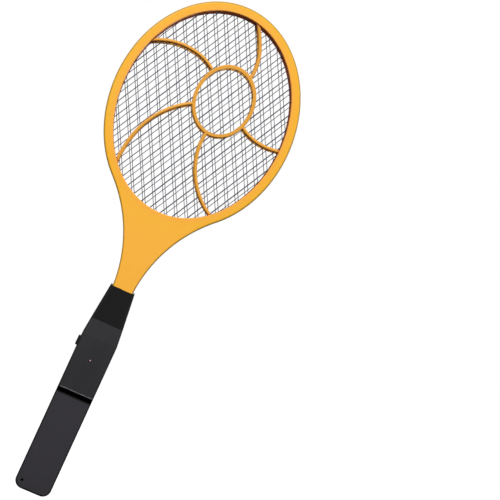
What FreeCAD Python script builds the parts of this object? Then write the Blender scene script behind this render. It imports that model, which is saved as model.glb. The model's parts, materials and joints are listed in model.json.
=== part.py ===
import FreeCAD, Part
import math
import os

# Battery-powered electric fly swatter, shaped like a small racket.
# Millimetres. +Z runs up the racket's long axis, the front face looks towards -Y,
# and the origin is the centre of the handle's butt end.

Vector = FreeCAD.Vector

# ---- driving dimensions: head ----
HEAD_Z = 373.7                # height of the opening's centre
OPENING_X, OPENING_Z = 76.9, 96.8
RING_X, RING_Z = 85.6, 105.3
HEAD_HALF = 8.5               # half the head's depth
FLARE_LEAN = -47.0            # direction, degrees from X, in which the ring runs into the flare arc
FLARE_R = 132.0
NECK_BOTTOM_Z = 157.0
FRAME_WALL = 1.8
LIP_BACK = 5.1                # distance of the lip's inner face from the mid plane
RING_ROUND = 2.0
LIP_ROUND = 0.6
SEAM_DEPTH = 0.25             # fine groove along every parting line

# ---- driving dimensions: nets ----
NET_Y = 4.4                   # outer nets, each side of the centre net
NET_WIRE_R = 0.33
CENTRE_WIRE_R = 0.4
NET_ANGLE = 61.8              # wire direction from the X axis, degrees
NET_PITCH = 9.38              # across the wires
NET_REACH = 2.2               # how far a wire runs under the lip
FRONT_PHASES = (-0.6, 0.7)    # how far the first wire of each direction lies from the centre
REAR_PHASES = (5.2, 2.8)
CENTRE_PHASE = -0.3
SPACER_WIDTH = 2.3
SPACER_GAP = 0.1              # between a spacer and the lip's edge, seen from the front
SHORTEST_WIRE = 24.0
LEAD_R = 0.6
LEAD_BALL_EXTRA = 0.015       # a lead's joining balls are this much larger in radius than the lead

# ---- driving dimensions: ribs ----
RIB_WIDTH = 3.3
RIB_FRONT = 7.0               # distance of a rib's outer face from the mid plane
RIB_CROWN = 0.9               # height of a rib's rounded top
HUB_ROUND = 0.8
HUB_X, HUB_Z = 12.5, 392.9
HUB_SEMI_X, HUB_SEMI_Z = 26.6, 32.5

# ---- driving dimensions: handle ----
BODY_X, BODY_Y = 17.0, 13.0   # half width and half depth
BUTT_ROUND = 8.0
EDGE_ROUND = 2.4
TAPER_Z = 150.0
COLLAR_Z = 166.0
COLLAR_HALF = (15.4, 12.4)
COLLAR_TOP_Z = 199.6
COLLAR_TOP_HALF = (11.7, 10.4)
SHELL_WALL = 2.0
COLLAR_WALL = 1.6
COLLAR_END_WALL = 2.2
CORE_ROUND = 0.5              # long inner edges of the handle's walls
NECK_GAP = 0.3                # between the neck and the collar's mouth
COVER_TOP_Z = 92.5
GROOVE_TOP_Z = 98.5
GROOVE_DEPTH, GROOVE_FLOOR = 2.2, 1.6
SLIDE_GAP = 0.1
FIT_GAP = 0.15

# ---- driving dimensions: things held in the handle ----
CELL_R, CELL_LENGTH, CELL_Y = 7.15, 49.4, 3.4
CELL_X = 7.35
CELL_ROUND = 0.5
NUB_R, NUB_LENGTH = 2.7, 1.1
BAY_BOTTOM_Z, BAY_TOP_Z = 31.0, 88.0
CONTACT_THICK = 0.4
BATTERY_LEAD_R = 0.65
SPRING_R, SPRING_WIRE_R, SPRING_TURNS = 3.6, 0.35, 4
BOARD_Y, BOARD_THICK = 3.4, 1.6
BOARD_Z0, BOARD_Z1, BOARD_HALF = 104.0, 147.0, 13.0
BOARD_NOTCH = 0.6             # board edge cut back where the pressed button comes near it
LED_Z, LED_R, LED_PROUD = 130.0, 1.5, 0.6
LED_BACK_Y = -9.0
LED_FLANGE_R = 1.85
LED_LEG_X, LED_LEG_R = 1.1, 0.25
BUTTON_Z0, BUTTON_Z1, BUTTON_HALF_Y = 136.7, 145.8, 3.0
BUTTON_PROUD = 1.9
BUTTON_ROUND = 0.8
BUTTON_FLANGE = 1.2           # how far the flange stands out round the stem
STRAP_X, STRAP_Z, STRAP_R = -11.0, 8.1, 1.25

EPS = 0.02                    # gap left where two pieces meet face to face


# ---- small helpers ----

def box(x0, x1, y0, y1, z0, z1):
    return Part.makeBox(x1 - x0, y1 - y0, z1 - z0, Vector(x0, y0, z0))


def rod(radius, start, end):
    start, end = Vector(*start), Vector(*end)
    return Part.makeCylinder(radius, (end - start).Length, start, end - start)


def mirrored_y(shape):
    return shape.mirror(Vector(0, 0, 0), Vector(0, 1, 0))


def mirrored_x(shape):
    return shape.mirror(Vector(0, 0, 0), Vector(1, 0, 0))


def fuse(first, *others):
    return first.fuse(list(others))


def group(shapes):
    return Part.makeCompound(shapes)


def edges_on_plane(shape, y, z_min=-1e9):
    """Edges lying wholly at one depth, above a height."""
    found = []
    for edge in shape.Edges:
        limits = edge.BoundBox
        if abs(limits.YMin - y) < 1e-4 and abs(limits.YMax - y) < 1e-4:
            if limits.ZMax > z_min:
                found.append(edge)
    return found


def wire_through(points, radius):
    """A round flexible lead along a smooth curve, in short straight runs joined by balls."""
    curve = Part.BSplineCurve()
    curve.interpolate([Vector(*p) for p in points])
    stops = curve.toShape().discretize(Number=3 * len(points))
    runs = [rod(radius, start, end) for start, end in zip(stops, stops[1:])]
    balls = [Part.makeSphere(radius + LEAD_BALL_EXTRA, stop) for stop in stops[1:-1]]
    return fuse(*runs, *balls)


# ---- head outline ----

def ellipse_curve(semi_x, semi_z, centre_x=0.0, centre_z=HEAD_Z):
    centre = Vector(centre_x, 0, centre_z)
    return Part.Ellipse(centre + Vector(0, 0, semi_z), centre + Vector(semi_x, 0, 0), centre)


def ellipse_slab(semi_x, semi_z, y0, y1, centre_x=0.0, centre_z=HEAD_Z):
    """An upright elliptical slab between two depths."""
    face = Part.Face(Part.Wire([ellipse_curve(semi_x, semi_z, centre_x, centre_z).toShape()]))
    face.translate(Vector(0, y0, 0))
    return face.extrude(Vector(0, y1 - y0, 0))


def head_outline(inset):
    """Ring ellipse, two hollow flare arcs tangent to it, and the straight neck, drawn inset."""
    semi_x, semi_z, flare_r = RING_X - inset, RING_Z - inset, FLARE_R + inset
    lean = math.radians(FLARE_LEAN)
    normal = Vector(math.cos(lean), 0, math.sin(lean))
    reach = math.hypot(semi_x * normal.x, semi_z * normal.z)
    touch = Vector(semi_x ** 2 * normal.x / reach, 0, HEAD_Z + semi_z ** 2 * normal.z / reach)
    centre = touch + normal * flare_r
    neck_half = centre.x - flare_r
    half_way = math.pi + lean / 2
    middle = centre + Vector(math.cos(half_way), 0, math.sin(half_way)) * flare_r
    neck_top = Vector(neck_half, 0, centre.z)
    neck_foot = Vector(neck_half, 0, NECK_BOTTOM_Z + inset)
    turn = math.atan2(touch.x / semi_x, (touch.z - HEAD_Z) / semi_z)

    def left(point):
        return Vector(-point.x, 0, point.z)

    edges = [
        Part.ArcOfEllipse(ellipse_curve(semi_x, semi_z), -turn, turn).toShape(),
        Part.Arc(touch, middle, neck_top).toShape(),
        Part.makeLine(neck_top, neck_foot),
        Part.makeLine(neck_foot, left(neck_foot)),
        Part.makeLine(left(neck_foot), left(neck_top)),
        Part.Arc(left(neck_top), left(middle), left(touch)).toShape(),
    ]
    return Part.Face(Part.Wire(Part.__sortEdges__(edges))), neck_half


OUTLINE, NECK_HALF = head_outline(0.0)


def ring_point(angle_deg, inset):
    """A point in the ring's channel, counted from the top, outside the opening."""
    turn = math.radians(angle_deg)
    return (OPENING_X + inset) * math.sin(turn), HEAD_Z + (OPENING_Z + inset) * math.cos(turn)


FRAME_SCREW_ANGLES = (0, 40, 80, 120, 240, 280, 320)
FRAME_SCREW_INSET = 5.0
FRAME_BOSS_R, NECK_BOSS_R = 2.35, 2.75
BOSS_ROOT = 1.0               # depth inside the outer wall at which a boss starts
NECK_SCREW_Z = 161.0

# Each screw: shank radius, head radius, head height, the depth its head sits on, and its tip.
FRAME_SCREW_R, FRAME_HEAD_R, FRAME_HEAD_HEIGHT = 0.95, 1.75, 1.3
FRAME_SEAT_Y, FRAME_TIP_Y = 6.6, -5.0
NECK_SCREW_R, NECK_HEAD_R, NECK_HEAD_HEIGHT = 1.2, 2.5, 1.6
NECK_SEAT_Y, NECK_TIP_Y = 10.6, -5.8
SHELL_SCREW_R, SHELL_HEAD_R, SHELL_HEAD_HEIGHT = 1.1, 2.1, 1.7
SHELL_SEAT_Y, SHELL_TIP_Y = 6.0, -7.5
BOARD_SCREW_R, BOARD_HEAD_R, BOARD_HEAD_HEIGHT = 0.9, 1.7, 1.2
BOARD_SCREW_LENGTH = 5.6
BITE_GAP = 0.05               # round a screw's thread
HOLE_GAP = 0.15               # round a screw's shank where it passes freely
HEAD_GAP = 0.2                # round a screw's head in its recess


def frame_screw_places():
    return [ring_point(angle, FRAME_SCREW_INSET) for angle in FRAME_SCREW_ANGLES]


# ---- ribs ----

def rib_profile(start, direction):
    """Rounded-top rib section standing across a path at its start."""
    side = direction.cross(Vector(0, 1, 0)).normalize() * (RIB_WIDTH / 2)
    out = Vector(0, -1, 0)
    base = start + out * LIP_BACK
    shoulder = out * (RIB_FRONT - LIP_BACK - RIB_CROWN)
    crown = out * (RIB_FRONT - LIP_BACK)
    low_left, low_right = base - side, base + side
    high_left, high_right = low_left + shoulder, low_right + shoulder
    return Part.Wire([
        Part.makeLine(low_left, high_left),
        Part.Arc(high_left, base + crown, high_right).toShape(),
        Part.makeLine(high_right, low_right),
        Part.makeLine(low_right, low_left),
    ])


def swept_rib(path_edge):
    start = path_edge.valueAt(path_edge.FirstParameter)
    direction = path_edge.tangentAt(path_edge.FirstParameter)
    pipe = Part.BRepOffsetAPI.MakePipeShell(Part.Wire([path_edge]))
    pipe.setBiNormalMode(Vector(0, 1, 0))
    pipe.add(rib_profile(start, direction))
    pipe.build()
    pipe.makeSolid()
    return pipe.shape()


# Each spoke runs from the ring to the hub, as a smooth curve through a few (x, z) points.
SPOKES = (
    ((-72.5, 413.6), (-55.5, 421.2), (-39.4, 423.5), (-24.0, 421.5), (-10.3, 415.0)),
    ((11.3, 470.0), (22.6, 448.7), (26.0, 435.7), (25.2, 421.9)),
    ((79.0, 373.2), (62.1, 371.2), (50.8, 372.7), (36.9, 379.2)),
    ((45.6, 292.6), (22.6, 311.6), (13.2, 328.5), (9.0, 345.5), (9.6, 360.8)),
    ((-53.0, 300.6), (-50.3, 328.5), (-45.1, 343.6), (-34.6, 360.5), (-12.5, 379.3)),
)


def rib_web():
    """The off-centre hub ring and its five curved spokes, on the front side."""
    hub_outer = ellipse_slab(HUB_SEMI_X + RIB_WIDTH / 2, HUB_SEMI_Z + RIB_WIDTH / 2,
                             -RIB_FRONT, -LIP_BACK, HUB_X, HUB_Z)
    rim = edges_on_plane(hub_outer, -RIB_FRONT)
    hub_outer = hub_outer.makeFillet(HUB_ROUND, rim)
    hub_inner = ellipse_slab(HUB_SEMI_X - RIB_WIDTH / 2, HUB_SEMI_Z - RIB_WIDTH / 2,
                             -RIB_FRONT, -LIP_BACK, HUB_X, HUB_Z)
    web = [hub_outer.cut(hub_inner)]
    for points in SPOKES:
        curve = Part.BSplineCurve()
        curve.interpolate([Vector(x, 0, z) for x, z in points])
        web.append(swept_rib(curve.toShape()).cut(hub_inner))
    return web


# ---- frame halves ----

def half_frame_body():
    """Front half of the head: face, outer wall, lip and neck, hollow from behind."""
    body = OUTLINE.extrude(Vector(0, -HEAD_HALF, 0))
    body = body.makeFillet(RING_ROUND, edges_on_plane(body, -HEAD_HALF, NECK_BOTTOM_Z + 1))
    body = body.makeChamfer(SEAM_DEPTH, edges_on_plane(body, 0, NECK_BOTTOM_Z + 1))
    body = body.cut(ellipse_slab(OPENING_X, OPENING_Z, -HEAD_HALF - 1, 1))
    body = body.makeFillet(LIP_ROUND, [e for e in edges_on_plane(body, -HEAD_HALF, HEAD_Z)
                                       if e.BoundBox.XMax < OPENING_X + 0.01])
    pocket = head_outline(FRAME_WALL)[0]
    pocket.translate(Vector(0, 1, 0))
    pocket = pocket.extrude(Vector(0, -(HEAD_HALF - FRAME_WALL) - 1, 0))
    lip = ellipse_slab(OPENING_X + FRAME_WALL, OPENING_Z + FRAME_WALL, -HEAD_HALF, -LIP_BACK)
    inside = NECK_HALF - FRAME_WALL
    lead_way = box(-inside, inside, -(HEAD_HALF - FRAME_WALL), 1, NECK_BOTTOM_Z - 1, NECK_BOTTOM_Z + 2)
    return body.cut([pocket.cut(lip), lead_way])


def channel_posts(radius, y0, y1):
    return [rod(radius, (x, y0, z), (x, y1, z)) for x, z in frame_screw_places()]


def front_frame():
    """Front half of the head with its rib web, screw bosses and neck."""
    bosses = channel_posts(FRAME_BOSS_R, -HEAD_HALF + BOSS_ROOT, -EPS)
    neck_boss = rod(NECK_BOSS_R, (0, -HEAD_HALF + BOSS_ROOT, NECK_SCREW_Z), (0, -EPS, NECK_SCREW_Z))
    shape = fuse(half_frame_body(), *rib_web(), *bosses, neck_boss)
    holes = channel_posts(FRAME_SCREW_R + BITE_GAP, FRAME_TIP_Y - 0.6, 1)
    neck_hole = rod(NECK_SCREW_R + BITE_GAP, (0, NECK_TIP_Y - 0.6, NECK_SCREW_Z), (0, 1, NECK_SCREW_Z))
    return shape.cut(holes + [neck_hole])


def rear_frame():
    """Rear half of the head: the front half mirrored, drilled for the screws."""
    bosses = channel_posts(FRAME_BOSS_R, EPS, HEAD_HALF - BOSS_ROOT)
    neck_boss = rod(NECK_BOSS_R, (0, EPS, NECK_SCREW_Z), (0, HEAD_HALF - BOSS_ROOT, NECK_SCREW_Z))
    shape = mirrored_y(fuse(half_frame_body(), *rib_web()))
    shape = fuse(shape, *bosses, neck_boss)
    holes = channel_posts(FRAME_SCREW_R + HOLE_GAP, -1, FRAME_SEAT_Y + 0.4)
    recesses = channel_posts(FRAME_HEAD_R + HOLE_GAP, FRAME_SEAT_Y, HEAD_HALF + 1)
    neck_hole = rod(NECK_SCREW_R + 0.3, (0, -1, NECK_SCREW_Z), (0, HEAD_HALF + 1, NECK_SCREW_Z))
    return shape.cut(holes + recesses + [neck_hole])


def cross_slot(radius, centre, depth, towards):
    """A cross recess in a screw head: centre at the head's face, cut against towards."""
    x, y, z = centre
    y0, y1 = sorted((y + towards * 0.5, y - towards * depth))
    arm, half = radius * 0.62, radius * 0.14
    return box(x - arm, x + arm, y0, y1, z - half, z + half).fuse(
        box(x - half, x + half, y0, y1, z - arm, z + arm))


def screw(x, z, seat_y, tip_y, head_r, shank_r, head_height):
    """A pan-head screw driven towards -Y: its head sits on seat_y."""
    head = rod(head_r, (x, seat_y, z), (x, seat_y + head_height, z))
    head = head.makeFillet(head_height * 0.4, edges_on_plane(head, seat_y + head_height))
    shank = rod(shank_r, (x, tip_y, z), (x, seat_y, z))
    slot = cross_slot(head_r, (x, seat_y + head_height, z), head_height * 0.5, 1)
    return fuse(head, shank).cut(slot)


def frame_screws():
    return group([screw(x, z, FRAME_SEAT_Y + EPS, FRAME_TIP_Y, FRAME_HEAD_R, FRAME_SCREW_R,
                        FRAME_HEAD_HEIGHT) for x, z in frame_screw_places()])


# ---- nets and spacers ----

def net_rods(radius, y, angle_deg, phase, pitch=NET_PITCH):
    """Straight parallel wires across the opening, each ending under the lip."""
    turn = math.radians(angle_deg)
    along = (math.cos(turn), math.sin(turn))
    across = (-along[1], along[0])
    semi_x, semi_z = OPENING_X + NET_REACH, OPENING_Z + NET_REACH
    furthest = math.hypot(semi_x * across[0], semi_z * across[1])
    first = math.ceil((-furthest - phase) / pitch)
    last = math.floor((furthest - phase) / pitch)
    rods = []
    for index in range(first, last + 1):
        offset = phase + index * pitch
        foot_x, foot_z = across[0] * offset, across[1] * offset
        a = (along[0] / semi_x) ** 2 + (along[1] / semi_z) ** 2
        b = along[0] * foot_x / semi_x ** 2 + along[1] * foot_z / semi_z ** 2
        c = (foot_x / semi_x) ** 2 + (foot_z / semi_z) ** 2 - 1
        root = b * b - a * c
        if root <= 0 or 2 * math.sqrt(root) / a < SHORTEST_WIRE:
            continue
        ends = [(-b - math.sqrt(root)) / a, (-b + math.sqrt(root)) / a]
        start, end = [(foot_x + along[0] * t, y, HEAD_Z + foot_z + along[1] * t) for t in ends]
        rods.append(rod(radius, start, end))
    return rods


def outer_net(side, phase_up, phase_down):
    """Two layers of thin wires crossing in diamonds. side is -1 in front, 1 behind."""
    step = NET_WIRE_R + 0.01
    up = net_rods(NET_WIRE_R, side * (NET_Y + step), NET_ANGLE, phase_up)
    down = net_rods(NET_WIRE_R, side * (NET_Y - step), 180 - NET_ANGLE, phase_down)
    return group(up + down)


def front_mesh():
    return outer_net(-1, *FRONT_PHASES)


def rear_mesh():
    return outer_net(1, *REAR_PHASES)


def centre_mesh():
    """Thicker live wires in one direction, half way between the outer nets."""
    return group(net_rods(CENTRE_WIRE_R, 0.0, NET_ANGLE, CENTRE_PHASE))


def spacer(y0, y1):
    """Insulating ring that keeps an outer net away from the centre net."""
    semi_x, semi_z = OPENING_X + SPACER_GAP, OPENING_Z + SPACER_GAP
    ring = ellipse_slab(semi_x + SPACER_WIDTH, semi_z + SPACER_WIDTH, y0, y1)
    return ring.cut(ellipse_slab(semi_x, semi_z, y0 - 1, y1 + 1))


SPACER_OUT_Y = NET_Y - 2 * NET_WIRE_R - 0.05
SPACER_IN_Y = CENTRE_WIRE_R + EPS


def front_spacer():
    return spacer(-SPACER_OUT_Y, -SPACER_IN_Y)


def rear_spacer():
    return spacer(SPACER_IN_Y, SPACER_OUT_Y)


TERMINAL_TOP_Z = HEAD_Z - OPENING_Z - NET_REACH - 0.3
TERMINAL_FOOT_Z = TERMINAL_TOP_Z - 10.0
TERMINAL_THICK = 0.4


def outer_net_terminal():
    """A bent brass strip that joins the front and rear nets below the opening."""
    reach = NET_Y - 0.2
    strap = box(-9.0, -5.0, -reach, reach, TERMINAL_FOOT_Z, TERMINAL_TOP_Z)
    inner = reach - TERMINAL_THICK
    gap = box(-9.5, -4.5, -inner, inner, TERMINAL_FOOT_Z + TERMINAL_THICK, TERMINAL_TOP_Z + 1)
    return strap.cut(gap)


def centre_net_terminal():
    """A brass tab on the live centre net."""
    half = TERMINAL_THICK / 2
    blade = box(4.0, 8.0, -half, half, TERMINAL_FOOT_Z, TERMINAL_TOP_Z)
    foot = box(4.0, 8.0, -half, 2.4, TERMINAL_FOOT_Z - TERMINAL_THICK, TERMINAL_FOOT_Z)
    return fuse(blade, foot)


def hv_lead_outer():
    """Lead from the outer nets' terminal down the neck to the board."""
    top = TERMINAL_FOOT_Z - 0.7
    return wire_through([(-7.0, 0.0, top), (-6.0, 0.2, 240.0), (-5.2, 0.4, 200.0), (-5.2, 0.4, 172.0),
                         (-5.4, -0.6, 152.0), (-6.4, -2.6, 138.0), (-6.2, 2.4, 124.0)], LEAD_R)


def hv_lead_centre():
    """Lead from the centre net's tab down the neck to the board."""
    top = TERMINAL_FOOT_Z - 1.2
    return wire_through([(6.0, 1.2, top), (5.6, 0.8, 240.0), (5.2, 0.4, 200.0), (5.2, 0.4, 172.0),
                         (5.6, -0.6, 152.0), (10.2, -2.8, 140.0), (12.3, 2.4, 124.0)], LEAD_R)


# ---- handle envelope ----

def rounded_rectangle(half_x, half_y, radius, z):
    """A closed outline with four round corners, at one height."""
    x, y = half_x - radius, half_y - radius
    slant = radius * math.sqrt(0.5)
    edges = []
    corners = ((1, 1), (-1, 1), (-1, -1), (1, -1))
    for number, (sx, sy) in enumerate(corners):
        side_point = Vector(sx * half_x, sy * y, z)
        end_point = Vector(sx * x, sy * half_y, z)
        middle = Vector(sx * (x + slant), sy * (y + slant), z)
        first, last = (side_point, end_point) if sx * sy > 0 else (end_point, side_point)
        edges.append(Part.Arc(first, middle, last).toShape())
        nx, ny = corners[(number + 1) % 4]
        follow = Vector(nx * x, ny * half_y, z) if nx * ny < 0 else Vector(nx * half_x, ny * y, z)
        edges.append(Part.makeLine(last, follow))
    return Part.Wire(edges)


def loft(stations):
    wires = [rounded_rectangle(hx, hy, radius, z) for hx, hy, radius, z in stations]
    return Part.makeLoft(wires, True, True)


def butt_prism(half_x, half_y, z0, corner, edge):
    """Straight part of the handle with its round-cornered butt end and soft edges."""
    slant = corner * math.sqrt(0.5)
    x, z = half_x - corner, z0 + corner
    points = [Vector(half_x, 0, TAPER_Z), Vector(half_x, 0, z), Vector(x + slant, 0, z - slant),
              Vector(x, 0, z0), Vector(-x, 0, z0), Vector(-x - slant, 0, z - slant),
              Vector(-half_x, 0, z), Vector(-half_x, 0, TAPER_Z)]
    wire = Part.Wire([
        Part.makeLine(points[0], points[1]),
        Part.Arc(points[1], points[2], points[3]).toShape(),
        Part.makeLine(points[3], points[4]),
        Part.Arc(points[4], points[5], points[6]).toShape(),
        Part.makeLine(points[6], points[7]),
        Part.makeLine(points[7], points[0]),
    ])
    solid = Part.Face(wire)
    solid.translate(Vector(0, -half_y, 0))
    solid = solid.extrude(Vector(0, 2 * half_y, 0))
    if not edge:
        return solid
    soft = [e for y in (-half_y, half_y) for e in edges_on_plane(solid, y)
            if e.BoundBox.ZMin < TAPER_Z - 1]
    return solid.makeFillet(edge, soft)


def handle_envelope():
    """Outer form of the handle up to the collar."""
    taper = loft([(BODY_X, BODY_Y, EDGE_ROUND, TAPER_Z),
                  (COLLAR_HALF[0], COLLAR_HALF[1], EDGE_ROUND, COLLAR_Z)])
    return fuse(butt_prism(BODY_X, BODY_Y, 0, BUTT_ROUND, EDGE_ROUND), taper)


def handle_core(inset):
    """The handle's form drawn inset by one thickness all round, with sharp long edges."""
    low = butt_prism(BODY_X - inset, BODY_Y - inset, inset, BUTT_ROUND - inset, 0)
    taper = loft([(BODY_X - inset, BODY_Y - inset, CORE_ROUND, TAPER_Z),
                  (COLLAR_HALF[0] - inset, COLLAR_HALF[1] - inset, CORE_ROUND, COLLAR_Z + 0.01)])
    return fuse(low, taper)


def shell_seam():
    """Cutter for the fine groove along the parting line of the shells."""
    half_width = SEAM_DEPTH / 2
    slab = box(-BODY_X - 1, BODY_X + 1, -half_width, half_width, -1, COLLAR_Z - 0.5)
    return slab.cut(handle_core(SEAM_DEPTH))


ENVELOPE = handle_envelope()
CAVITY = handle_core(SHELL_WALL)
SEAM = shell_seam()
SHELL_SCREW_PLACES = ((11.4, 98.8), (-11.4, 98.8), (11.2, 152.2), (-11.2, 152.2))
SHELL_BOSS_R = 3.0
LAMP_SEAT_R = 3.2
SPIGOT_TOP_Z = 172.0
SPIGOT_HALF = (12.5, 10.2)
SOCKET_HALF = (NECK_HALF + FIT_GAP, HEAD_HALF + FIT_GAP)


def button_opening():
    low, high = BUTTON_Z0 - FIT_GAP, BUTTON_Z1 + FIT_GAP
    reach = BUTTON_HALF_Y + FIT_GAP
    return box(-BODY_X - 1, -BODY_X + SHELL_WALL + 0.5, -reach, reach, low, high)


def neck_socket():
    """Two walls inside the shell that hold the neck, and the spigot for the collar."""
    top_wall = box(-14, 14, -11.2, 11.2, 162.6, COLLAR_Z).common(CAVITY)
    foot_wall = box(-14.9, 14.9, -11.2, 11.2, NECK_BOTTOM_Z - 1.8, NECK_BOTTOM_Z - FIT_GAP).common(CAVITY)
    foot_wall = foot_wall.cut(box(-7.5, 7.5, -6, 6, NECK_BOTTOM_Z - 3, NECK_BOTTOM_Z + 1))
    spigot = box(-SPIGOT_HALF[0], SPIGOT_HALF[0], -SPIGOT_HALF[1], SPIGOT_HALF[1],
                 COLLAR_Z - 1, SPIGOT_TOP_Z)
    socket = box(-SOCKET_HALF[0], SOCKET_HALF[0], -SOCKET_HALF[1], SOCKET_HALF[1],
                 NECK_BOTTOM_Z, SPIGOT_TOP_Z + 1)
    return [top_wall, foot_wall, spigot], socket


def shell_blank(half_space):
    """Wall of the handle on one side of the parting plane, with its neck socket."""
    walls, socket = neck_socket()
    blank = fuse(ENVELOPE.cut(CAVITY), *walls).cut(socket)
    return blank.common(half_space).cut([button_opening(), SEAM])


def front_shell():
    """Upper front shell: lamp hole, screw bosses, the grip groove, and a tongue behind the cover."""
    half = box(-30, 30, -30, 0, COVER_TOP_Z + SLIDE_GAP, SPIGOT_TOP_Z)
    shape = shell_blank(half)
    floor_y = -BODY_Y + GROOVE_DEPTH
    back_y = floor_y + GROOVE_FLOOR
    tongue = box(-14.8, 14.8, floor_y, back_y, COVER_TOP_Z - 3.5, GROOVE_TOP_Z)
    floor = box(-15.5, 15.5, floor_y, back_y, COVER_TOP_Z + SLIDE_GAP, GROOVE_TOP_Z + 1)
    root = box(-15.5, 15.5, -BODY_Y + SHELL_WALL - 0.5, back_y, GROOVE_TOP_Z, GROOVE_TOP_Z + 2)
    bosses = [rod(SHELL_BOSS_R, (x, -BODY_Y + 1, z), (x, 0, z)) for x, z in SHELL_SCREW_PLACES]
    lamp_seat = rod(LAMP_SEAT_R, (0, -BODY_Y + 1, LED_Z), (0, LED_BACK_Y - 0.2, LED_Z))
    shape = fuse(shape, tongue, floor, root, lamp_seat, *bosses)
    groove = box(-30, 30, -30, floor_y, COVER_TOP_Z - 1, GROOVE_TOP_Z)
    holes = [rod(SHELL_SCREW_R + BITE_GAP, (x, SHELL_TIP_Y - 1.5, z), (x, 1, z))
             for x, z in SHELL_SCREW_PLACES]
    lamp_hole = rod(LED_R + 0.1, (0, -BODY_Y - 1, LED_Z), (0, 0, LED_Z))
    lamp_step = rod(LED_FLANGE_R + 0.1, (0, LED_BACK_Y - 1.6, LED_Z), (0, 0, LED_Z))
    return shape.cut([groove, lamp_hole, lamp_step] + holes).removeSplitter()


RAIL_Z0, RAIL_Z1 = 11.0, 28.0
STRAP_POST_R = 2.75
BOARD_POST_R = 2.2


def cover_rail():
    """A rail beside the battery bay; its ridge runs in a groove of the cover."""
    root = box(12.9, 15.5, 0.05, 3.0, RAIL_Z0, RAIL_Z1)
    web = box(12.9, 14.8, -3.6, 1.0, RAIL_Z0, RAIL_Z1)
    ridge = box(14.0, 15.6, -3.2, -2.0, RAIL_Z0, RAIL_Z1)
    return fuse(root, web, ridge)


def bay_walls():
    """Cross walls at the two ends of the battery bay."""
    walls = []
    for z0, z1 in ((BAY_BOTTOM_Z - 2, BAY_BOTTOM_Z), (BAY_TOP_Z, BAY_TOP_Z + 2)):
        walls.append(box(-15.5, 15.5, 0, 11.5, z0, z1))
        walls.append(box(-14.7, 14.7, -7.5, 1, z0, z1))
    return walls


def lead_slots():
    return [box(side * CELL_X - 1.8, side * CELL_X + 1.8, 7.4, 8.6, BAY_TOP_Z - 1, BAY_TOP_Z + 3)
            for side in (-1, 1)]


BOARD_SCREW_PLACES = ((-10.4, 106.4), (10.4, 144.4))


def rear_shell():
    """Full-length rear shell with battery bay, screw bosses, board posts and strap post."""
    half = box(-30, 30, 0, 30, -1, SPIGOT_TOP_Z)
    shape = shell_blank(half)
    bosses = [rod(SHELL_BOSS_R, (x, 0, z), (x, BODY_Y - 1, z)) for x, z in SHELL_SCREW_PLACES]
    posts = [rod(BOARD_POST_R, (x, BOARD_Y + BOARD_THICK + EPS, z), (x, BODY_Y - 1, z))
             for x, z in BOARD_SCREW_PLACES]
    strap_post = rod(STRAP_POST_R, (STRAP_X, -BODY_Y + 2 * SHELL_WALL + 0.4, STRAP_Z),
                     (STRAP_X, BODY_Y - 1, STRAP_Z))
    rail = cover_rail()
    shape = fuse(shape, rail, mirrored_x(rail), strap_post, *bay_walls(), *bosses, *posts)
    cuts = lead_slots()
    for x, z in SHELL_SCREW_PLACES:
        cuts.append(rod(SHELL_SCREW_R + HEAD_GAP, (x, -1, z), (x, SHELL_SEAT_Y + 1, z)))
        cuts.append(rod(SHELL_HEAD_R + HEAD_GAP, (x, SHELL_SEAT_Y, z), (x, BODY_Y + 1, z)))
    for x, z in BOARD_SCREW_PLACES:
        cuts.append(rod(BOARD_SCREW_R + 0.1, (x, BOARD_Y, z), (x, BOARD_Y + BOARD_SCREW_LENGTH + 0.5, z)))
    cuts.append(rod(STRAP_R, (STRAP_X, -30, STRAP_Z), (STRAP_X, 30, STRAP_Z)))
    cuts.append(rod(NECK_SCREW_R + 0.4, (0, HEAD_HALF - 1, NECK_SCREW_Z), (0, BODY_Y + 1, NECK_SCREW_Z)))
    cuts.append(rod(NECK_HEAD_R + HEAD_GAP, (0, NECK_SEAT_Y, NECK_SCREW_Z), (0, BODY_Y + 1, NECK_SCREW_Z)))
    return shape.cut(cuts).removeSplitter()


def battery_cover():
    """Lower front face of the handle, sliding off towards the butt end."""
    half = box(-30, 30, -30, -SLIDE_GAP, -1, COVER_TOP_Z)
    shape = ENVELOPE.cut(CAVITY).common(half)
    groove = box(14.5, 15.8, -3.4, -1.8, 3.5, COVER_TOP_Z + 1)
    strap_hole = rod(STRAP_R + FIT_GAP, (STRAP_X, -30, STRAP_Z), (STRAP_X, 0, STRAP_Z))
    return shape.cut([groove, mirrored_x(groove), strap_hole])


def neck_collar():
    """Tapered ferrule over the joint between the handle and the neck."""
    outer = loft([(COLLAR_HALF[0], COLLAR_HALF[1], EDGE_ROUND, COLLAR_Z + EPS),
                  (COLLAR_TOP_HALF[0], COLLAR_TOP_HALF[1], EDGE_ROUND, COLLAR_TOP_Z)])
    w = COLLAR_WALL
    inner = loft([(COLLAR_HALF[0] - w, COLLAR_HALF[1] - w, 1.0, COLLAR_Z - 0.1),
                  (COLLAR_TOP_HALF[0] - w + 0.1, COLLAR_TOP_HALF[1] - w + 0.1, 1.0, COLLAR_TOP_Z - 0.1)])
    inner = inner.common(box(-30, 30, -30, 30, 0, COLLAR_TOP_Z - COLLAR_END_WALL))
    mouth_x, mouth_y = NECK_HALF + NECK_GAP, HEAD_HALF + FIT_GAP
    neck_way = box(-mouth_x, mouth_x, -mouth_y, mouth_y, COLLAR_Z - 1, COLLAR_TOP_Z + 1)
    spigot_way = box(-SPIGOT_HALF[0] - EPS, SPIGOT_HALF[0] + EPS, -SPIGOT_HALF[1] - EPS,
                     SPIGOT_HALF[1] + EPS, COLLAR_Z - 1, SPIGOT_TOP_Z + FIT_GAP)
    return outer.cut([inner, neck_way, spigot_way])


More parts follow.
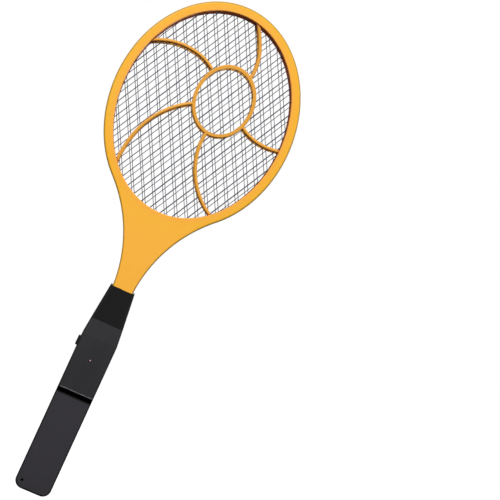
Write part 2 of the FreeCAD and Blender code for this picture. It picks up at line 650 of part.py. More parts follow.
def shell_screws():
    return group([screw(x, z, SHELL_SEAT_Y + EPS, SHELL_TIP_Y, SHELL_HEAD_R, SHELL_SCREW_R,
                        SHELL_HEAD_HEIGHT) for x, z in SHELL_SCREW_PLACES])


def neck_screw():
    return screw(0, NECK_SCREW_Z, NECK_SEAT_Y + EPS, NECK_TIP_Y, NECK_HEAD_R, NECK_SCREW_R,
                 NECK_HEAD_HEIGHT)


def board_screws():
    """Two screws holding the board on its posts; their heads face the front."""
    screws = []
    for x, z in BOARD_SCREW_PLACES:
        one = screw(x, z, 0, -BOARD_SCREW_LENGTH, BOARD_HEAD_R, BOARD_SCREW_R, BOARD_HEAD_HEIGHT)
        one.rotate(Vector(x, 0, z), Vector(0, 0, 1), 180)
        one.translate(Vector(0, BOARD_Y - EPS, 0))
        screws.append(one)
    return group(screws)


# ---- button, switch and lamp ----

FLANGE_X = -BODY_X + SHELL_WALL + 0.1


def push_button():
    """Side button with a flange that keeps it in the shell."""
    stem = box(-BODY_X - BUTTON_PROUD, FLANGE_X, -BUTTON_HALF_Y, BUTTON_HALF_Y, BUTTON_Z0, BUTTON_Z1)
    stem = stem.makeFillet(BUTTON_ROUND, [e for e in stem.Edges if e.BoundBox.XMax < FLANGE_X - 0.1
                                          or abs(e.BoundBox.XLength - stem.BoundBox.XLength) < 1e-6])
    reach = BUTTON_HALF_Y + BUTTON_FLANGE
    flange = box(FLANGE_X, FLANGE_X + 1.0, -reach, reach,
                 BUTTON_Z0 - BUTTON_FLANGE, BUTTON_Z1 + BUTTON_FLANGE)
    return fuse(stem, flange)


BUTTON_MID_Z = (BUTTON_Z0 + BUTTON_Z1) / 2
LEG_END_Y = BOARD_Y + BOARD_THICK + 0.6
SWITCH_FRONT_X = -12.4


def switch_body():
    """Momentary switch standing on the board's left edge."""
    case = box(SWITCH_FRONT_X, -8.4, -3.0, BOARD_Y - EPS, BUTTON_MID_Z - 3.1, BUTTON_MID_Z + 3.1)
    case = case.makeFillet(0.4, [e for e in case.Edges if e.BoundBox.XLength > 3.9])
    well = rod(1.7, (SWITCH_FRONT_X - 1, 0, BUTTON_MID_Z), (-9.9, 0, BUTTON_MID_Z))
    return case.cut(well)


def switch_plunger():
    """The switch's own plunger, pressed by the button."""
    plunger = rod(1.6, (-13.88, 0, BUTTON_MID_Z), (-11.4, 0, BUTTON_MID_Z))
    return plunger.makeFillet(0.3, [e for e in plunger.Edges if e.BoundBox.XMax < -13.8])


def led():
    """A 3 mm lamp whose domed tip stands in the front face, with two legs to the board."""
    tip_y = -BODY_Y - LED_PROUD
    body = rod(LED_R, (0, LED_BACK_Y, LED_Z), (0, tip_y + LED_R, LED_Z))
    dome = Part.makeSphere(LED_R, Vector(0, tip_y + LED_R, LED_Z))
    flange = rod(LED_FLANGE_R, (0, LED_BACK_Y, LED_Z), (0, LED_BACK_Y - 1, LED_Z))
    legs = [rod(LED_LEG_R, (x, LED_BACK_Y - 0.2, LED_Z), (x, LEG_END_Y, LED_Z))
            for x in (-LED_LEG_X, LED_LEG_X)]
    return fuse(body, dome, flange, *legs)


# ---- circuit board and its components ----

AXIAL_LEG_R = 0.3
TRANSISTOR_LEG_R = 0.25
RESISTOR_R, RESISTOR_LENGTH = 1.15, 6.3
DIODE_R, DIODE_LENGTH = 1.25, 5.0
PIN_R = 0.35

def through_holes():
    """Hole positions in the board for component legs: x, z and radius."""
    holes = [(x, LED_Z, LED_LEG_R + 0.15) for x in (-LED_LEG_X, LED_LEG_X)]
    for x, z0, z1 in resistor_places() + diode_places():
        holes += [(x, z0, AXIAL_LEG_R + 0.15), (x, z1, AXIAL_LEG_R + 0.15)]
    holes += [(TRANSISTOR_X + step, TRANSISTOR_Z, TRANSISTOR_LEG_R + 0.15) for step in TRANSISTOR_PITCH]
    holes += [(x, z, BOARD_SCREW_R + HOLE_GAP) for x, z in BOARD_SCREW_PLACES]
    return holes


def resistor_places():
    return [(x, 125.2, 135.2) for x in (4.0, 7.2, 10.4)]


def diode_places():
    return [(x, 136.8, 145.8) for x in (-4.6, -1.4, 1.8)]


TRANSISTOR_X, TRANSISTOR_Z = -10.2, 127.0
TRANSISTOR_PITCH = (-1.4, 0, 1.4)


def circuit_board():
    board = box(-BOARD_HALF, BOARD_HALF, BOARD_Y, BOARD_Y + BOARD_THICK, BOARD_Z0, BOARD_Z1)
    button_way = box(-BOARD_HALF - 1, -BOARD_HALF + BOARD_NOTCH, BOARD_Y - 1, BOARD_Y + BOARD_THICK + 1,
                     BUTTON_Z0 - BUTTON_FLANGE - 1, BOARD_Z1 + 1)
    drills = [rod(radius, (x, BOARD_Y - 1, z), (x, BOARD_Y + 3, z)) for x, z, radius in through_holes()]
    return board.cut(drills + [button_way])


TRANSFORMER_X, TRANSFORMER_Z = -4.6, 115.0


def transformer_core():
    """Ferrite E-core pair: a frame with a centre leg through the winding."""
    x, z = TRANSFORMER_X, TRANSFORMER_Z
    block = box(x - 6.2, x + 6.2, -5.6, 0.4, z - 6.2, z + 6.2)
    windows = [box(x + side * 3.9 - 1.9, x + side * 3.9 + 1.9, -6, 1, z - 4.2, z + 4.2)
               for side in (-1, 1)]
    return block.cut(windows)


def transformer_winding():
    """Wound bobbin round the centre leg, with the pin rows that stand on the board."""
    x, z = TRANSFORMER_X, TRANSFORMER_Z
    coil = box(x - 5.6, x + 5.6, -8.0, 2.6, z - 4.0, z + 4.0)
    coil = coil.makeFillet(1.6, [e for e in coil.Edges if e.BoundBox.ZLength > 7.9])
    leg_way = box(x - 2.05, x + 2.05, -5.65, 0.45, z - 5, z + 5)
    side_ways = [box(x + side * 5.8 - 0.05, x + side * 5.8 + 0.9, -5.65, 0.45, z - 5, z + 5)
                 for side in (-1, 1)]
    pins = [rod(PIN_R, (x + px, 2.4, z + pz), (x + px, BOARD_Y - EPS, z + pz))
            for px in (-4, 0, 4) for pz in (-3, 3)]
    return fuse(coil.cut([leg_way] + side_ways), *pins)


def hv_capacitor():
    """Dipped film capacitor on two legs."""
    body = box(4.4, 11.0, -7.5, 1.6, 108.0, 122.6)
    body = body.makeFillet(1.8, body.Edges)
    legs = [rod(PIN_R, (7.7, 1.0, z), (7.7, BOARD_Y - EPS, z)) for z in (110.8, 119.8)]
    return fuse(body, *legs)


def axial_part(x, z0, z1, radius, length):
    """A small round component lying along Z, with two bent legs through the board."""
    y = BOARD_Y - radius - 0.3
    middle = (z0 + z1) / 2
    body = rod(radius, (x, y, middle - length / 2), (x, y, middle + length / 2))
    body = body.makeFillet(radius * 0.35, body.Edges[0:1] + body.Edges[2:3])
    lead = rod(AXIAL_LEG_R, (x, y, z0 - AXIAL_LEG_R), (x, y, z1 + AXIAL_LEG_R))
    legs = [rod(AXIAL_LEG_R, (x, y, z), (x, LEG_END_Y, z)) for z in (z0, z1)]
    return fuse(body, lead, *legs)


def resistors():
    return group([axial_part(x, z0, z1, RESISTOR_R, RESISTOR_LENGTH) for x, z0, z1 in resistor_places()])


def rectifier_diodes():
    return group([axial_part(x, z0, z1, DIODE_R, DIODE_LENGTH) for x, z0, z1 in diode_places()])


def transistor():
    """Small flat-backed plastic transistor on three legs."""
    x, z = TRANSISTOR_X, TRANSISTOR_Z
    case = rod(2.3, (x, -2.6, z + 0.6), (x, 2.0, z + 0.6))
    case = case.cut(box(x - 3, x + 3, -3, 3, z + 1.9, z + 4))
    legs = [rod(TRANSISTOR_LEG_R, (x + step, 1.6, z), (x + step, LEG_END_Y, z)) for step in TRANSISTOR_PITCH]
    return fuse(case, *legs)


# ---- cells and contacts ----

def cell(x, base_z, up):
    """A round cell with its nub at the top when up is 1, or at the bottom when -1."""
    low = (x, CELL_Y, base_z)
    body = rod(CELL_R, low, (x, CELL_Y, base_z + CELL_LENGTH))
    body = body.makeFillet(CELL_ROUND, [e for e in body.Edges if e.BoundBox.ZLength < 0.01])
    nub_z = base_z + CELL_LENGTH if up > 0 else base_z - NUB_LENGTH
    nub = rod(NUB_R, (x, CELL_Y, nub_z), (x, CELL_Y, nub_z + NUB_LENGTH))
    return fuse(body, nub)


LEFT_CELL_Z = BAY_TOP_Z - CONTACT_THICK - 0.1 - NUB_LENGTH - CELL_LENGTH
RIGHT_CELL_Z = BAY_BOTTOM_Z + CONTACT_THICK + 0.1 + NUB_LENGTH


def aa_battery_left():
    return cell(-CELL_X, LEFT_CELL_Z, 1)


def aa_battery_right():
    return cell(CELL_X, RIGHT_CELL_Z, -1)


def coil_spring(x, z0, z1):
    """A compression spring between two heights: half turns that tilt in turn, joined end to end."""
    half_turns = 2 * SPRING_TURNS
    rise = (z1 - z0 - 2 * SPRING_WIRE_R) / half_turns
    bow = Part.makeTorus(math.hypot(SPRING_R, rise / 2), SPRING_WIRE_R, Vector(0, 0, 0),
                         Vector(0, 0, 1), -180, 180, 180)
    bow.rotate(Vector(0, 0, 0), Vector(0, 1, 0), math.degrees(math.atan2(rise / 2, SPRING_R)))
    bows = []
    for number in range(half_turns):
        turned = bow.copy()
        turned.rotate(Vector(0, 0, 0), Vector(0, 0, 1), 180 * (number % 2))
        turned.translate(Vector(x, CELL_Y, z0 + SPRING_WIRE_R + rise * (number + 0.5)))
        bows.append(turned)
    return fuse(*bows)


def battery_springs():
    seat = CONTACT_THICK + 0.08
    return group([coil_spring(-CELL_X, BAY_BOTTOM_Z + seat, LEFT_CELL_Z - EPS),
                  coil_spring(CELL_X, RIGHT_CELL_Z + CELL_LENGTH + EPS, BAY_TOP_Z - seat)])


def battery_bridge():
    """Plate across the bottom of the bay that joins the two cells."""
    z = BAY_BOTTOM_Z + EPS
    return box(-13.4, 13.4, -2.6, 9.4, z, z + CONTACT_THICK)


def battery_contacts():
    """One plate over each cell, with a tab through the wall for its lead."""
    plates = []
    for side in (-1, 1):
        x, z = side * CELL_X, BAY_TOP_Z - EPS
        plate = box(x - 5.6, x + 5.6, -2.6, 8.2, z - CONTACT_THICK, z)
        tab = box(x - 1.5, x + 1.5, 7.8, 8.2, z - CONTACT_THICK, z + 5.5)
        plates.append(fuse(plate, tab))
    return group(plates)


def battery_leads():
    """Two insulated leads from the contact tabs to the back of the board."""
    leads = []
    for side in (-1, 1):
        x = side * CELL_X
        leads.append(wire_through([(x, 7.0, BAY_TOP_Z + 3.2), (x, 7.1, BAY_TOP_Z + 8),
                                   (x * 0.8, 7.4, 103.0), (x * 0.7, 7.0, 108.0)], BATTERY_LEAD_R))
    return group(leads)


NODES = {
    "front_frame": front_frame, "rear_frame": rear_frame, "front_mesh": front_mesh,
    "centre_mesh": centre_mesh, "rear_mesh": rear_mesh, "front_spacer": front_spacer,
    "rear_spacer": rear_spacer, "frame_screws": frame_screws,
    "outer_net_terminal": outer_net_terminal, "centre_net_terminal": centre_net_terminal,
    "hv_lead_outer": hv_lead_outer, "hv_lead_centre": hv_lead_centre,
    "neck_collar": neck_collar, "front_shell": front_shell, "rear_shell": rear_shell,
    "battery_cover": battery_cover, "shell_screws": shell_screws, "neck_screw": neck_screw,
    "board_screws": board_screws, "push_button": push_button, "switch_body": switch_body,
    "switch_plunger": switch_plunger, "led": led, "circuit_board": circuit_board,
    "transformer_core": transformer_core, "transformer_winding": transformer_winding,
    "hv_capacitor": hv_capacitor, "resistors": resistors, "rectifier_diodes": rectifier_diodes,
    "transistor": transistor, "aa_battery_left": aa_battery_left,
    "aa_battery_right": aa_battery_right, "battery_springs": battery_springs,
    "battery_bridge": battery_bridge, "battery_contacts": battery_contacts,
    "battery_leads": battery_leads,
}

os.makedirs("parts", exist_ok=True)
for name, make in NODES.items():
    make().exportStep("parts/" + name + ".step")
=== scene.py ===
import json
import math
import random

import bpy
from mathutils import Matrix, Vector

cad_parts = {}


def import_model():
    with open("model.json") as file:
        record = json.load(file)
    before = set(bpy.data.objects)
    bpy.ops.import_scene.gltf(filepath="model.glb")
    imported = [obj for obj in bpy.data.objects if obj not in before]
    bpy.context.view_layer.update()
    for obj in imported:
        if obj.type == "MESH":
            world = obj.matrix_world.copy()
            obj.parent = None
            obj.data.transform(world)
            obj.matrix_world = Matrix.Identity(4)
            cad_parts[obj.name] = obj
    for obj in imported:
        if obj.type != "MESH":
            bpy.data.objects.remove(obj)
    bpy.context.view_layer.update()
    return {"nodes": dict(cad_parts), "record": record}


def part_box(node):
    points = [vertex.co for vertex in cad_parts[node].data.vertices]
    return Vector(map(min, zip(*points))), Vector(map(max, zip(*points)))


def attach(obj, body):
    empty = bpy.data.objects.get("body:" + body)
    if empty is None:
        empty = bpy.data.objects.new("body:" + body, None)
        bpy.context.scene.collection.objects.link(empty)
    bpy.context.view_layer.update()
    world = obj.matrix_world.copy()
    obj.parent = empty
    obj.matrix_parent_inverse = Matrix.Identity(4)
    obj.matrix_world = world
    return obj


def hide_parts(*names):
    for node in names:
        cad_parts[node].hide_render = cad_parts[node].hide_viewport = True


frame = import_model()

# An electric fly swatter shaped like a small racket, in metres, +Z up its long axis, front towards -Y.

MM = 0.001


# ---- node helpers ----

MIX_FACTOR, MIX_FIRST, MIX_SECOND = 0, 6, 7     # inputs of the mix node when it mixes colours
MIX_RESULT = 2                                  # its output
EDGE_SAMPLES = 6                                # rays per sample for edge wear and recesses
RIM_POWER = 2.2


def srgb(red, green, blue):
    """A colour given as 0..255 display values, as linear light."""
    out = []
    for value in (red, green, blue):
        v = value / 255
        out.append(v / 12.92 if v <= 0.04045 else ((v + 0.055) / 1.055) ** 2.4)
    return (*out, 1.0)


class Look:
    """A material under construction: short calls that add and link shader nodes and return their outputs."""

    def __init__(self, name):
        self.material = bpy.data.materials.new(name)
        self.material.use_nodes = True
        self.tree = self.material.node_tree
        self.tree.nodes.clear()
        self.place = self.add("ShaderNodeTexCoord").outputs["Object"]
        self.matt_shade = None                # a mask of places with painted shade and no sheen, set by a shade function

    def add(self, kind, inputs=None, **settings):
        """A new node, with its inputs set or linked and its settings applied."""
        made = self.tree.nodes.new(kind)
        for key, value in settings.items():
            setattr(made, key, value)
        for key, value in (inputs or {}).items():
            self.feed(made.inputs[key], value)
        return made

    def feed(self, socket, value):
        """Link a socket or set a plain value; None leaves the input alone."""
        if isinstance(value, bpy.types.NodeSocket):
            self.tree.links.new(value, socket)
        elif value is not None:
            socket.default_value = value

    def noise(self, scale, detail=3.0, roughness=0.55, place=None, distortion=0.0):
        inputs = {"Vector": place or self.place, "Scale": scale, "Detail": detail, "Roughness": roughness,
                  "Distortion": distortion}
        return self.add("ShaderNodeTexNoise", inputs).outputs["Fac"]

    def stretched(self, x, y, z):
        """Object coordinates scaled per axis, so that a noise runs long where the scale is small."""
        made = self.add("ShaderNodeMapping", {"Vector": self.place, "Scale": (x, y, z)})
        return made.outputs["Vector"]

    def math(self, operation, first, second=0.0):
        return self.add("ShaderNodeMath", {0: first, 1: second}, operation=operation).outputs[0]

    def span(self, value, low, high, to_low=0.0, to_high=1.0):
        """A value mapped from low..high to to_low..to_high, and held at the ends."""
        made = self.add("ShaderNodeMapRange", {"Value": value, "From Min": low, "From Max": high,
                                               "To Min": to_low, "To Max": to_high}, clamp=True)
        return made.outputs["Result"]

    def mix(self, factor, first, second):
        """The first colour at factor 0 and the second at factor 1."""
        made = self.add("ShaderNodeMix", data_type="RGBA")
        self.feed(made.inputs[MIX_FACTOR], factor)
        self.feed(made.inputs[MIX_FIRST], first)
        self.feed(made.inputs[MIX_SECOND], second)
        return made.outputs[MIX_RESULT]

    def edges(self, radius):
        """1 along edges and 0 on flats, from a rounded normal compared with the real one."""
        rounded = self.add("ShaderNodeBevel", {"Radius": radius}, samples=EDGE_SAMPLES).outputs["Normal"]
        true = self.add("ShaderNodeNewGeometry").outputs["Normal"]
        dot = self.add("ShaderNodeVectorMath", {0: rounded, 1: true}, operation="DOT_PRODUCT")
        return self.span(dot.outputs["Value"], 0.98, 0.72)

    def facing(self):
        """0 where the surface faces the eye, rising to 1 where it turns away."""
        return self.add("ShaderNodeLayerWeight", {"Blend": 0.5}).outputs["Facing"]

    def rim_shade(self):
        """As facing, but lower over the middle of its range."""
        return self.math("POWER", self.facing(), RIM_POWER)

    def hollow(self, distance):
        """1 deep in recesses and 0 in the open."""
        sky = self.add("ShaderNodeAmbientOcclusion", {"Distance": distance}, samples=EDGE_SAMPLES)
        return self.span(sky.outputs["AO"], 0.75, 0.15)

    def normal(self, name):
        """One component of the surface's own direction."""
        normal = self.add("ShaderNodeNewGeometry").outputs["Normal"]
        return self.add("ShaderNodeSeparateXYZ", {"Vector": normal}).outputs[name]

    def flatness(self):
        """1 where the surface faces straight forward or back, and 0 where it faces sideways."""
        return self.math("ABSOLUTE", self.normal("Y"))

    def axis(self, name):
        """One coordinate of the place, in metres at rest."""
        return self.add("ShaderNodeSeparateXYZ", {"Vector": self.place}).outputs[name]

    def off_centre(self, centre, semi_x, semi_z):
        """0 at a centre in the XZ plane and 1 on the ellipse round it."""
        across = self.math("DIVIDE", self.math("SUBTRACT", self.axis("X"), centre.x), semi_x)
        upward = self.math("DIVIDE", self.math("SUBTRACT", self.axis("Z"), centre.z), semi_z)
        across_squared = self.math("MULTIPLY", across, across)
        upward_squared = self.math("MULTIPLY", upward, upward)
        return self.math("SQRT", self.math("ADD", across_squared, upward_squared))

    def bump(self, height, distance, normal=None):
        """A normal raised by a height of 0..1 times a distance, on top of another bump if one is given."""
        inputs = {"Height": height, "Strength": 1.0, "Distance": distance, "Normal": normal}
        return self.add("ShaderNodeBump", inputs).outputs["Normal"]

    def surface(self, **inputs):
        """Close the material with a principled shader, its inputs named with _ for a space."""
        shader = self.add("ShaderNodeBsdfPrincipled")
        for key, value in inputs.items():
            self.feed(shader.inputs[key.replace("_", " ")], value)
        self.add("ShaderNodeOutputMaterial", {"Surface": shader.outputs[0]})
        return self.material


# ---- materials ----

WARM_GLOW = (1.0, 0.17, 0.01, 1.0)     # painted glow, standing in for light that has come through orange plastic
RECESS_REACH = 9 * MM                   # how far a wall must be to leave a place in the open
MATT_SPECULAR = 0.02
BRIGHT_EDGE = 1.35                      # how much lighter a metal part is along its edges


def moulded(name, base, drift, worn, rim_shade=None, rough=0.42, grain=2600.0, grain_depth=0.012 * MM,
            specular=0.4, wear_radius=0.5 * MM, wear=0.5, recess_shade=None, shade=None, glow=None):
    """Injection-moulded plastic: tone drift, spark-eroded grain, handling marks, worn edges.

    rim and recess are pairs of a colour and its share, for painted shade where the surface turns away
    from the eye and painted shade in recesses. shade changes the tone, and glow gives the emission's
    strength, for a painted glow.
    """
    look = Look(name)
    broad = look.noise(9.0, 2.0)
    fine = look.noise(420.0, 4.0)
    tone = look.mix(look.span(broad, 0.35, 0.7), base, drift)
    tone = look.mix(look.span(fine, 0.4, 0.75, 0.0, 0.35), tone, drift)
    # painted shade: darker in recesses, where little light reaches
    if recess_shade:
        tone = look.mix(look.math("MULTIPLY", look.hollow(RECESS_REACH), recess_shade[1]), tone, recess_shade[0])
    scuffs = look.noise(160.0, 6.0, 0.7, look.stretched(1.0, 1.0, 0.16), 0.6)
    patchy = look.span(look.noise(230.0, 5.0), 0.3, 0.7, 0.4, 1.0)
    edge = look.math("MULTIPLY", look.edges(wear_radius), patchy)
    tone = look.mix(look.math("MULTIPLY", edge, wear), tone, worn)
    if shade:
        tone = shade(look, tone)
    # painted shade: darker where the surface turns away from the eye
    if rim_shade:
        tone = look.mix(look.math("MULTIPLY", look.rim_shade(), rim_shade[1]), tone, rim_shade[0])
    rough_map = look.span(scuffs, 0.3, 0.75, rough - 0.07, rough + 0.12)
    rough_map = look.math("ADD", rough_map, look.math("MULTIPLY", edge, -0.08))
    skin = look.bump(look.noise(grain, 3.0, 0.6), grain_depth)
    waves = look.bump(look.noise(55.0, 2.0), 0.05 * MM, skin)
    strength = glow(look) if glow else 0.0
    if look.matt_shade:
        specular = look.span(look.matt_shade, 0.0, 1.0, specular, MATT_SPECULAR)
    return look.surface(Base_Color=tone, Roughness=rough_map, Normal=waves, Specular_IOR_Level=specular,
                        Emission_Color=WARM_GLOW, Emission_Strength=strength)


def metal(name, base, dull, rough):
    """Drawn, plated or stamped metal with dull patches, fine scratches and bright edges."""
    look = Look(name)
    patches = look.noise(650.0, 4.0, 0.65)
    scratches = look.noise(14.0, 5.0, 0.7, look.stretched(300.0, 300.0, 300.0))
    tone = look.mix(look.span(patches, 0.35, 0.7), base, dull)
    tone = look.mix(look.span(scratches, 0.45, 0.75, 0.0, 0.5), tone, dull)
    bright = [min(1.0, part * BRIGHT_EDGE) for part in base[:3]] + [1.0]
    tone = look.mix(look.math("MULTIPLY", look.edges(0.15 * MM), 0.5), tone, bright)
    rough_map = look.span(patches, 0.3, 0.75, rough - 0.08, rough + 0.2)
    return look.surface(Base_Color=tone, Metallic=1.0, Roughness=rough_map,
                        Normal=look.bump(scratches, 0.01 * MM))


def net_wire():
    """Dark galvanised wire: every wire has its own tone, with grey bloom and fine drawing marks."""
    look = Look("wire_net_steel")
    own = look.add("ShaderNodeAttribute", attribute_name="wire_tone").outputs["Fac"]
    bloom = look.noise(900.0, 5.0, 0.7)
    dark, pale = srgb(52, 56, 70), srgb(112, 118, 134)
    tone = look.mix(own, dark, pale)
    tone = look.mix(look.span(bloom, 0.45, 0.75, 0.0, 0.55), tone, srgb(138, 142, 152))
    rough_map = look.span(bloom, 0.3, 0.7, 0.34, 0.6)
    return look.surface(Base_Color=tone, Metallic=0.55, Roughness=rough_map,
                        Normal=look.bump(look.noise(3200.0, 3.0), 0.006 * MM))


def rubber_lead(name, base, worn):
    """Soft insulation with a dull bloom."""
    look = Look(name)
    bloom = look.noise(500.0, 4.0)
    tone = look.mix(look.span(bloom, 0.4, 0.75, 0.0, 0.6), base, worn)
    tone = look.mix(look.math("MULTIPLY", look.edges(0.2 * MM), 0.5), tone, worn)
    return look.surface(Base_Color=tone, Roughness=look.span(bloom, 0.3, 0.7, 0.45, 0.65),
                        Normal=look.bump(look.noise(1800.0), 0.01 * MM))


def lamp():
    """Dark red lamp dome with a small pale core at its tip."""
    low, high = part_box("led")
    look = Look("lamp_red_dome")
    swirl = look.noise(900.0, 3.0)
    deep = look.mix(look.span(swirl, 0.4, 0.7, 0.0, 0.4), srgb(66, 16, 28), srgb(50, 10, 20))
    deep = look.mix(look.math("MULTIPLY", look.edges(0.15 * MM), 0.4), deep, srgb(120, 44, 56))
    out = look.off_centre((low + high) / 2, 1.0 * MM, 1.0 * MM)
    core = look.span(out, 0.8, 0.35)
    glow = look.mix(core, srgb(110, 12, 34), srgb(255, 222, 230))
    tip = look.span(look.axis("Y"), -11.0 * MM, -13.0 * MM)
    lit = look.math("MULTIPLY", tip, look.span(core, 0.0, 1.0, 0.03, 0.6))
    rough_map = look.span(swirl, 0.3, 0.7, 0.12, 0.22)
    return look.surface(Base_Color=deep, Roughness=rough_map, Emission_Color=glow, Emission_Strength=lit,
                        Normal=look.bump(swirl, 0.004 * MM))


def board():
    """Paper-phenolic circuit board with a copper pattern under its lacquer."""
    look = Look("board_phenolic")
    fibre = look.noise(260.0, 5.0, 0.6, look.stretched(1.0, 1.0, 5.0))
    tracks = look.add("ShaderNodeTexBrick", {"Vector": look.stretched(1.0, 1.0, 1.0), "Scale": 160.0,
                                             "Mortar Size": 0.03, "Brick Width": 0.9, "Row Height": 0.32})
    lanes = look.span(tracks.outputs["Fac"], 0.2, 0.6)
    tone = look.mix(fibre, srgb(186, 140, 78), srgb(150, 104, 52))
    tone = look.mix(look.math("MULTIPLY", lanes, 0.6), tone, srgb(96, 120, 60))
    tone = look.mix(look.math("MULTIPLY", look.edges(0.25 * MM), 0.6), tone, srgb(212, 178, 122))
    return look.surface(Base_Color=tone, Roughness=look.span(fibre, 0.3, 0.7, 0.3, 0.5),
                        Normal=look.bump(lanes, 0.03 * MM))


def speckled(name, base, fleck, rough, bands=None):
    """Small hard parts: ferrite, dipped and fired bodies, tape. bands: colour and scale of rings along Z."""
    look = Look(name)
    patch = look.noise(800.0, 5.0, 0.65)
    tone = look.mix(look.span(patch, 0.4, 0.7), base, fleck)
    if bands:
        rings = look.add("ShaderNodeTexWave", {"Vector": look.place, "Scale": bands[1], "Distortion": 0.0},
                         bands_direction="Z").outputs["Fac"]
        tone = look.mix(look.span(rings, 0.86, 0.9), tone, bands[0])
    tone = look.mix(look.math("MULTIPLY", look.edges(0.2 * MM), 0.4), tone, fleck)
    return look.surface(Base_Color=tone, Roughness=look.span(patch, 0.3, 0.7, rough - 0.08, rough + 0.12),
                        Normal=look.bump(patch, 0.02 * MM))


def cell_sleeve(node, nub_up):
    """Dry cell: shrink sleeve in two tones with a pale ring, bare plated metal at both ends."""
    low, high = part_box(node)
    look = Look("cell_" + node)
    nub = 1.2 * MM
    if nub_up:
        along = look.span(look.axis("Z"), low.z, high.z - nub, 0.0, 1.0)
    else:
        along = look.span(look.axis("Z"), low.z + nub, high.z, 1.0, 0.0)
    foil = look.noise(1500.0, 3.0)
    body = look.mix(look.span(foil, 0.4, 0.7, 0.0, 0.4), srgb(28, 78, 122), srgb(20, 60, 100))
    cap = look.mix(look.span(foil, 0.4, 0.7, 0.0, 0.4), srgb(196, 160, 84), srgb(168, 132, 62))
    tone = look.mix(look.span(along, 0.715, 0.72), body, cap)
    ring = look.math("MULTIPLY", look.span(along, 0.69, 0.692), look.span(along, 0.72, 0.718))
    tone = look.mix(ring, tone, srgb(222, 224, 226))
    bare = look.math("MAXIMUM", look.span(along, 0.985, 0.988), look.span(along, 0.014, 0.011))
    tone = look.mix(bare, tone, srgb(190, 190, 192))
    scuffs = look.noise(320.0, 5.0, 0.7, look.stretched(1.0, 1.0, 0.2))
    rough_map = look.span(scuffs, 0.3, 0.75, 0.2, 0.42)
    tone = look.mix(look.math("MULTIPLY", look.edges(0.3 * MM), 0.5), tone, srgb(205, 205, 206))
    return look.surface(Base_Color=tone, Metallic=look.span(bare, 0.0, 1.0, 0.35, 1.0), Roughness=rough_map,
                        Normal=look.bump(scuffs, 0.012 * MM))


ORANGE = srgb(253, 181, 44)
ORANGE_DRIFT = srgb(250, 186, 54)
ORANGE_NECK = srgb(255, 184, 62)
ORANGE_WORN = srgb(255, 210, 92)
# painted shade colours: the deep orange of the opening's depths and rib flanks, the olive of the outer
# corners, the dark brown of the rib undersides
ORANGE_SHADE_DEEP = srgb(158, 66, 14)
ORANGE_PEACH = srgb(255, 172, 78)
ORANGE_RIB = srgb(218, 154, 50)
ORANGE_CORNER_SHADE = srgb(162, 130, 34)
RIB_UNDERSIDE_SHADE = srgb(96, 42, 10)
# painted shade: the black of the grip groove's floor
GROOVE_SHADE_BLACK = srgb(0, 0, 0)
# painted highlight on the groove's upper lip
LIP_HIGHLIGHT = srgb(112, 112, 114)
# painted shade for the handle's long corners
CORNER_SHADE = srgb(6, 6, 7)

SPACER_LOW, SPACER_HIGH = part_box("front_spacer")
HEAD_CENTRE = (SPACER_LOW + SPACER_HIGH) / 2
SPACER_SEMI_X = (SPACER_HIGH.x - SPACER_LOW.x) / 2
SPACER_SEMI_Z = (SPACER_HIGH.z - SPACER_LOW.z) / 2
SPACER_HIDDEN = 2.4 * MM        # how far the spacer's outer edge lies behind the frame's wall


def opening_distance(look):
    """1 on the edge of the head's opening, less inside it and more outside."""
    return look.off_centre(HEAD_CENTRE, SPACER_SEMI_X - SPACER_HIDDEN, SPACER_SEMI_Z - SPACER_HIDDEN)


def opening_wall(look, out):
    """1 on the opening's own wall."""
    return look.math("MULTIPLY", look.span(out, 1.012, 1.004), look.span(out, 0.985, 0.99))


def frame_shade(look, tone):
    """Peachier neck and inner border, duller ribs; painted shade on the rib flanks and undersides, the brown
    depths and the olive outer corners.
    """
    out = opening_distance(look)
    below = look.span(look.axis("Z"), HEAD_CENTRE.z - 75 * MM, HEAD_CENTRE.z - 125 * MM)
    tone = look.mix(below, tone, ORANGE_NECK)
    tone = look.mix(look.span(out, 1.06, 1.0, 0.0, 0.55), tone, ORANGE_PEACH)
    depth = look.math("ABSOLUTE", look.axis("Y"))
    inside = look.span(out, 0.99, 0.985)
    tone = look.mix(look.math("MULTIPLY", inside, 0.65), tone, ORANGE_RIB)
    # painted shade: the opening's wall and the ribs' flanks darken with depth
    wall = look.math("MULTIPLY", opening_wall(look, out), look.span(depth, 8.3 * MM, 6.4 * MM))
    ribs = look.math("MULTIPLY", inside, look.span(depth, 6.8 * MM, 5.9 * MM))
    ribs = look.math("MULTIPLY", ribs, look.span(look.flatness(), 0.7, 0.4))
    tone = look.mix(look.math("MAXIMUM", wall, ribs), tone, ORANGE_SHADE_DEEP)
    # painted shade: the ribs' undersides, facing down, are darker
    under = look.math("MULTIPLY", inside, look.span(look.normal("Z"), -0.1, -0.55, 0.0, 0.9))
    tone = look.mix(under, tone, RIB_UNDERSIDE_SHADE)
    # painted shade: the outer corners darken where they turn away from the eye
    outside = look.span(out, 1.03, 1.05)
    return look.mix(look.math("MULTIPLY", turned_corner(look, 0.85), outside), tone, ORANGE_CORNER_SHADE)


def turned_corner(look, most):
    """Rises on corners rounded between the front and the sides, where they turn away from the eye."""
    flat = look.flatness()
    rounded = look.math("MULTIPLY", look.span(flat, 0.992, 0.95), look.span(flat, 0.02, 0.1))
    return look.math("MULTIPLY", rounded, look.span(look.facing(), 0.04, 0.24, 0.0, most))


def handle_shade(look, tone):
    """Painted shade: darker long corners, where they turn away from the eye."""
    return look.mix(turned_corner(look, 0.8), tone, CORNER_SHADE)


WALL_GLOW = 0.05


